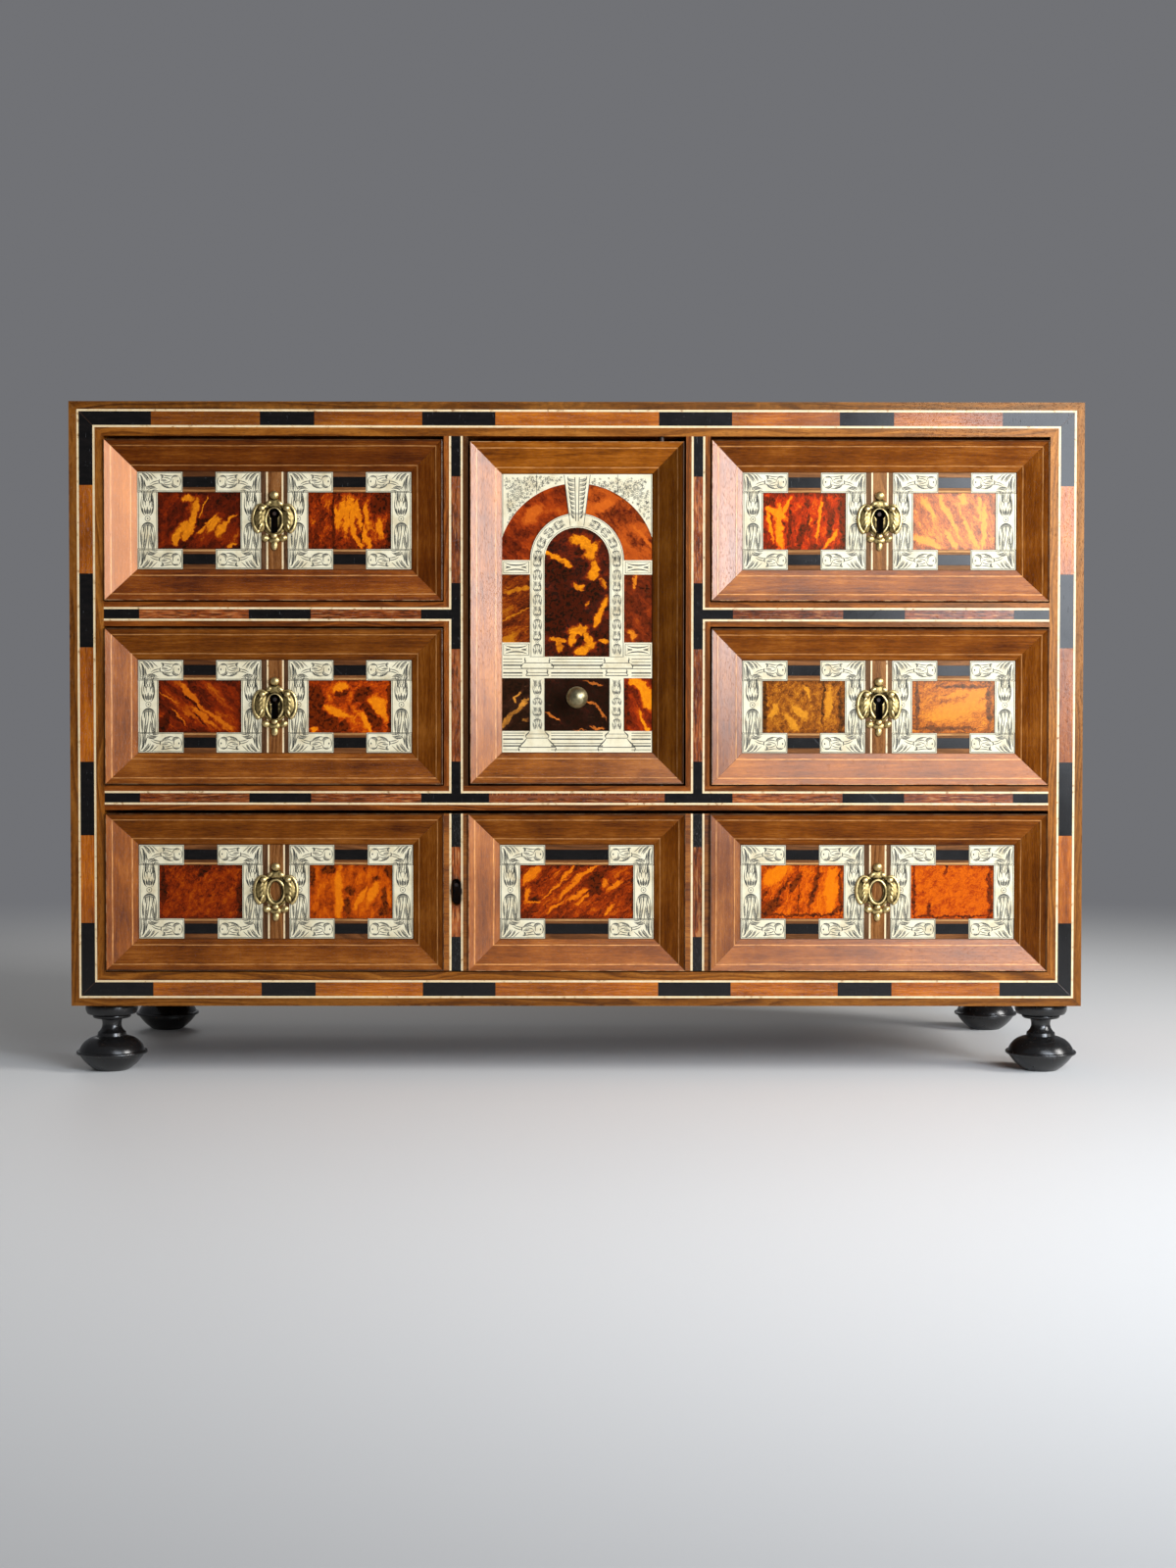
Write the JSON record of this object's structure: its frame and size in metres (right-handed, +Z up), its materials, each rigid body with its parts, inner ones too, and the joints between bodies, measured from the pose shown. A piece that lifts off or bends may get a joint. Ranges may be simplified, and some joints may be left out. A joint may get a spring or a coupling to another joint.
{
  "type": "curiosity cabinet",
  "caption": "Table cabinet in walnut with inlaid bevelled drawer fronts, an arched centre door, a long lower drawer and turned feet.",
  "frame": {"origin": "floor level under the middle of the whole piece, door knob and feet included", "axes": "+X to the right as seen from the front, +Y from the front to the back, +Z up; the front faces -Y"},
  "size_m": [0.6452, 0.2604, 0.4258],
  "materials": {
    "walnut_case": "satin, waxed walnut with open grain",
    "walnut_moulding": "satin walnut with fine light lines",
    "back_wood": "dry, unpolished softwood",
    "drawer_wood": "dry, unpolished drawer lining wood",
    "bone_string": "satin bone stringing",
    "bone": "satin engraved bone",
    "ebony": "satin ebony",
    "fruitwood": "satin orange-brown fruitwood",
    "redwood": "satin reddish brown hardwood, coarse grain",
    "ebonised_wood": "ebonised and waxed, turned",
    "tortoiseshell": "polished mottled tortoiseshell",
    "brass": "aged cast brass, polished on its high places",
    "iron": "dark forged iron"
  },
  "bodies": {
    "carcass": {"top_board": "walnut_case", "bottom_board": "walnut_case", "left_side": "walnut_case", "right_side": "walnut_case", "back_panel": "back_wood", "lower_shelf": "walnut_case", "small_shelves": "walnut_case", "left_partition": "walnut_case", "right_partition": "walnut_case", "edge_strings": "bone_string", "edge_ebony_blocks": "ebony", "edge_fruitwood_blocks": "fruitwood", "edge_redwood_blocks": "redwood", "foot_front_left": "ebonised_wood", "foot_front_right": "ebonised_wood", "foot_rear_left": "ebonised_wood", "foot_rear_right": "ebonised_wood", "door_pivot_pins": "iron"},
    "door": {"door_panel": "walnut_case", "door_frame": "walnut_moulding", "door_plaques": "bone", "door_shell": "tortoiseshell", "door_knob": "brass"},
    "top_left_drawer": {"top_left_drawer_box": "drawer_wood", "top_left_drawer_frame": "walnut_moulding", "top_left_drawer_plaques": "bone", "top_left_drawer_shell": "tortoiseshell", "top_left_escutcheon": "brass", "top_left_lock": "iron"},
    "top_left_bolt_slide": {"top_left_bolt": "iron"},
    "middle_left_drawer": {"middle_left_drawer_box": "drawer_wood", "middle_left_drawer_frame": "walnut_moulding", "middle_left_drawer_plaques": "bone", "middle_left_drawer_shell": "tortoiseshell", "middle_left_escutcheon": "brass", "middle_left_lock": "iron"},
    "middle_left_bolt_slide": {"middle_left_bolt": "iron"},
    "top_right_drawer": {"top_right_drawer_box": "drawer_wood", "top_right_drawer_frame": "walnut_moulding", "top_right_drawer_plaques": "bone", "top_right_drawer_shell": "tortoiseshell", "top_right_escutcheon": "brass", "top_right_lock": "iron"},
    "top_right_bolt_slide": {"top_right_bolt": "iron"},
    "middle_right_drawer": {"middle_right_drawer_box": "drawer_wood", "middle_right_drawer_frame": "walnut_moulding", "middle_right_drawer_plaques": "bone", "middle_right_drawer_shell": "tortoiseshell", "middle_right_escutcheon": "brass", "middle_right_lock": "iron"},
    "middle_right_bolt_slide": {"middle_right_bolt": "iron"},
    "long_drawer": {"long_drawer_box": "drawer_wood", "long_drawer_strings": "bone_string", "long_drawer_blocks": "redwood", "long_drawer_frames": "walnut_moulding", "long_drawer_plaques": "bone", "long_drawer_shell": "tortoiseshell", "long_drawer_escutcheons": "brass", "long_drawer_lock": "iron"},
    "long_bolt_slide": {"long_drawer_bolt": "iron"}
  },
  "joints": [
    {"name": "top_left_drawer_slides", "type": "slide", "parent": "carcass", "child": "top_left_drawer", "axis": [0, -1, 0], "range_m": [0, 0.175]},
    {"name": "top_left_bolt_rises", "type": "slide", "parent": "top_left_drawer", "child": "top_left_bolt_slide", "axis": [0, 0, 1], "range_m": [0, 0.0055]},
    {"name": "middle_left_drawer_slides", "type": "slide", "parent": "carcass", "child": "middle_left_drawer", "axis": [0, -1, 0], "range_m": [0, 0.175]},
    {"name": "middle_left_bolt_rises", "type": "slide", "parent": "middle_left_drawer", "child": "middle_left_bolt_slide", "axis": [0, 0, 1], "range_m": [0, 0.0055]},
    {"name": "top_right_drawer_slides", "type": "slide", "parent": "carcass", "child": "top_right_drawer", "axis": [0, -1, 0], "range_m": [0, 0.175]},
    {"name": "top_right_bolt_rises", "type": "slide", "parent": "top_right_drawer", "child": "top_right_bolt_slide", "axis": [0, 0, 1], "range_m": [0, 0.0055]},
    {"name": "middle_right_drawer_slides", "type": "slide", "parent": "carcass", "child": "middle_right_drawer", "axis": [0, -1, 0], "range_m": [0, 0.175]},
    {"name": "middle_right_bolt_rises", "type": "slide", "parent": "middle_right_drawer", "child": "middle_right_bolt_slide", "axis": [0, 0, 1], "range_m": [0, 0.0055]},
    {"name": "long_drawer_slides", "type": "slide", "parent": "carcass", "child": "long_drawer", "axis": [0, -1, 0], "range_m": [0, 0.175]},
    {"name": "long_bolt_rises", "type": "slide", "parent": "long_drawer", "child": "long_bolt_slide", "axis": [0, 0, 1], "range_m": [0, 0.0055]},
    {"name": "door_swings", "type": "hinge", "parent": "carcass", "child": "door", "pos_m": [0.0534, -0.11165, 0.294], "axis": [0, 0, 1], "range_deg": [0, 100]}
  ]
}
